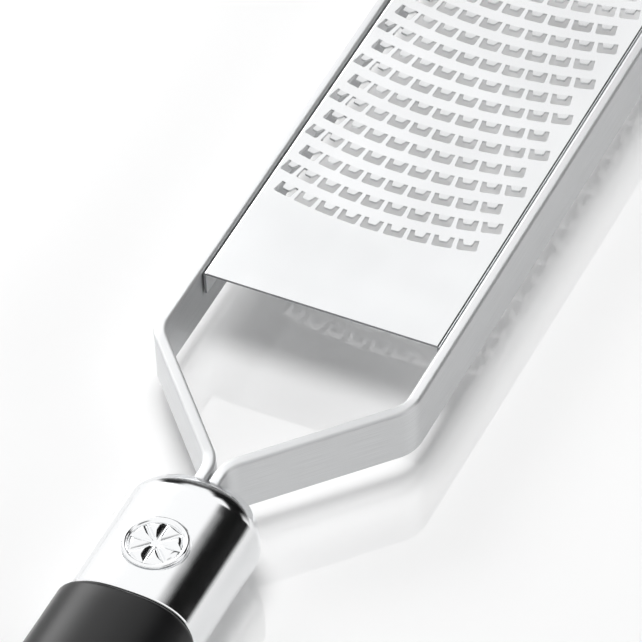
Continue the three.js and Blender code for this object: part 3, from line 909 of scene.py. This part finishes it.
def black_flag_cloth():
    # Black molton: matt and nearly without light, fading to clear where the cloth thins out.
    material, tree, shader = start_material("black_flag_cloth")
    tree.nodes.remove(shader)
    darkness = add(tree, "ShaderNodeAttribute", attribute_name="darkness")
    cloth = add(tree, "ShaderNodeBsdfDiffuse", Color=colour("#1C1C1C"))
    clear = add(tree, "ShaderNodeBsdfTransparent")
    mixed = add(tree, "ShaderNodeMixShader",
                [("Fac", darkness, "Fac"), (1, clear, "BSDF"), (2, cloth, "BSDF")])
    tree.links.new(mixed.outputs["Shader"], tree.nodes["Material Output"].inputs["Surface"])
    return material


def make_flags():
    points, shades, faces = [], [], []
    for height in FLAG_HEIGHTS:
        level = FLAG_RADIUS * math.cos(math.radians(height))
        z = FLAG_RADIUS * math.sin(math.radians(height))
        for turn in FLAG_TURNS:
            points.append((level * math.cos(math.radians(turn)), level * math.sin(math.radians(turn)), z))
            shades.append(flag_darkness(turn, height))
    count = len(FLAG_TURNS)
    for r in range(len(FLAG_HEIGHTS) - 1):
        for i in range(count - 1):
            start = r * count + i
            faces.append((start, start + 1, start + count + 1, start + count))
    mesh = bpy.data.meshes.new("studio_flags")
    mesh.from_pydata(points, [], faces)
    mesh.attributes.new("darkness", "FLOAT", "POINT").data.foreach_set("value", shades)
    flags = add_stage("studio_flags", mesh, black_flag_cloth())
    flags.visible_camera = False
    flags.visible_diffuse = False


# Lamps: places and sizes in metres, power in watts, and whether metal mirrors the lamp

LAMP_AIM = (0.03, 0.0, 0.01)
SOFTBOXES = [
    ("overhead_scrim", (0.07, 0.06, 0.92), 0.66, 0.66, 15.8, False),
    ("left_softbox", (0.527, 0.675, 0.515), 0.8, 0.6, 8.6, True),
    ("right_softbox", (0.05, -0.8, 0.36), 1.2, 0.5, 4.6, False),
]
FRONT_CENTRE = (0.5, 0.5, 0.0)
FRONT_BRIGHT = 0.15
FRONT_DARK = 0.5


def add_softbox(name, place, width, height, power, mirrored):
    # Fabric front, brightest in the middle, so that its reflection has no hard edge
    lamp = bpy.data.lights.new(name, "AREA")
    lamp.shape = "RECTANGLE"
    lamp.size = width
    lamp.size_y = height
    lamp.energy = power
    lamp.use_nodes = True
    tree = lamp.node_tree
    front = add(tree, "ShaderNodeNewGeometry")
    offset = add(tree, "ShaderNodeVectorMath", [(0, front, "Parametric")], operation="DISTANCE")
    offset.inputs[1].default_value = FRONT_CENTRE
    glow = add(tree, "ShaderNodeMapRange", [("Value", offset, "Value")], interpolation_type="SMOOTHSTEP")
    glow.inputs["From Min"].default_value = FRONT_BRIGHT
    glow.inputs["From Max"].default_value = FRONT_DARK
    glow.inputs["To Min"].default_value = 1.0
    glow.inputs["To Max"].default_value = 0.0
    tree.links.new(glow.outputs["Result"], tree.nodes["Emission"].inputs["Strength"])
    holder = bpy.data.objects.new(name, lamp)
    bpy.context.collection.objects.link(holder)
    holder.location = place
    holder.visible_glossy = mirrored
    holder.rotation_euler = (Vector(LAMP_AIM) - Vector(place)).to_track_quat("-Z", "Y").to_euler()


# Camera fitted to the photograph: a long lens from behind the grip, a little rolled

CAMERA_TARGET = (-3.0, -1.6, RAIL_TOP)
CAMERA_DISTANCE = 1099.0
CAMERA_HEADING = math.radians(28.35)
CAMERA_TILT = math.radians(45.69)
CAMERA_ROLL = math.radians(-3.59)
CAMERA_CLIP = 50.0
SENSOR = 36.0
FOCAL_PIXELS = 5831.0
IMAGE_PIXELS = 642.0


def add_camera():
    lens = bpy.data.cameras.new("photo_camera")
    lens.sensor_width = SENSOR
    lens.lens = SENSOR * FOCAL_PIXELS / IMAGE_PIXELS
    lens.clip_end = CAMERA_CLIP
    camera = bpy.data.objects.new("photo_camera", lens)
    bpy.context.collection.objects.link(camera)
    flat = math.cos(CAMERA_TILT)
    ahead_x, ahead_y = math.cos(CAMERA_HEADING), math.sin(CAMERA_HEADING)
    back = Vector((-flat * ahead_x, -flat * ahead_y, math.sin(CAMERA_TILT)))
    across = Vector((ahead_y, -ahead_x, 0.0))
    upright = back.cross(across)
    right = math.cos(CAMERA_ROLL) * across + math.sin(CAMERA_ROLL) * upright
    up = math.cos(CAMERA_ROLL) * upright - math.sin(CAMERA_ROLL) * across
    x, y, z = CAMERA_TARGET
    target = Vector(((x - PART_MIDDLE) * MM, y * MM, z * MM))
    turned = Matrix((right, up, back)).transposed().to_4x4()
    camera.matrix_world = Matrix.Translation(target + back * CAMERA_DISTANCE * MM) @ turned
    bpy.context.scene.camera = camera


make_table()
make_flags()
make_room()
for softbox in SOFTBOXES:
    add_softbox(*softbox)
add_camera()
bpy.context.scene.view_settings.view_transform = "Standard"
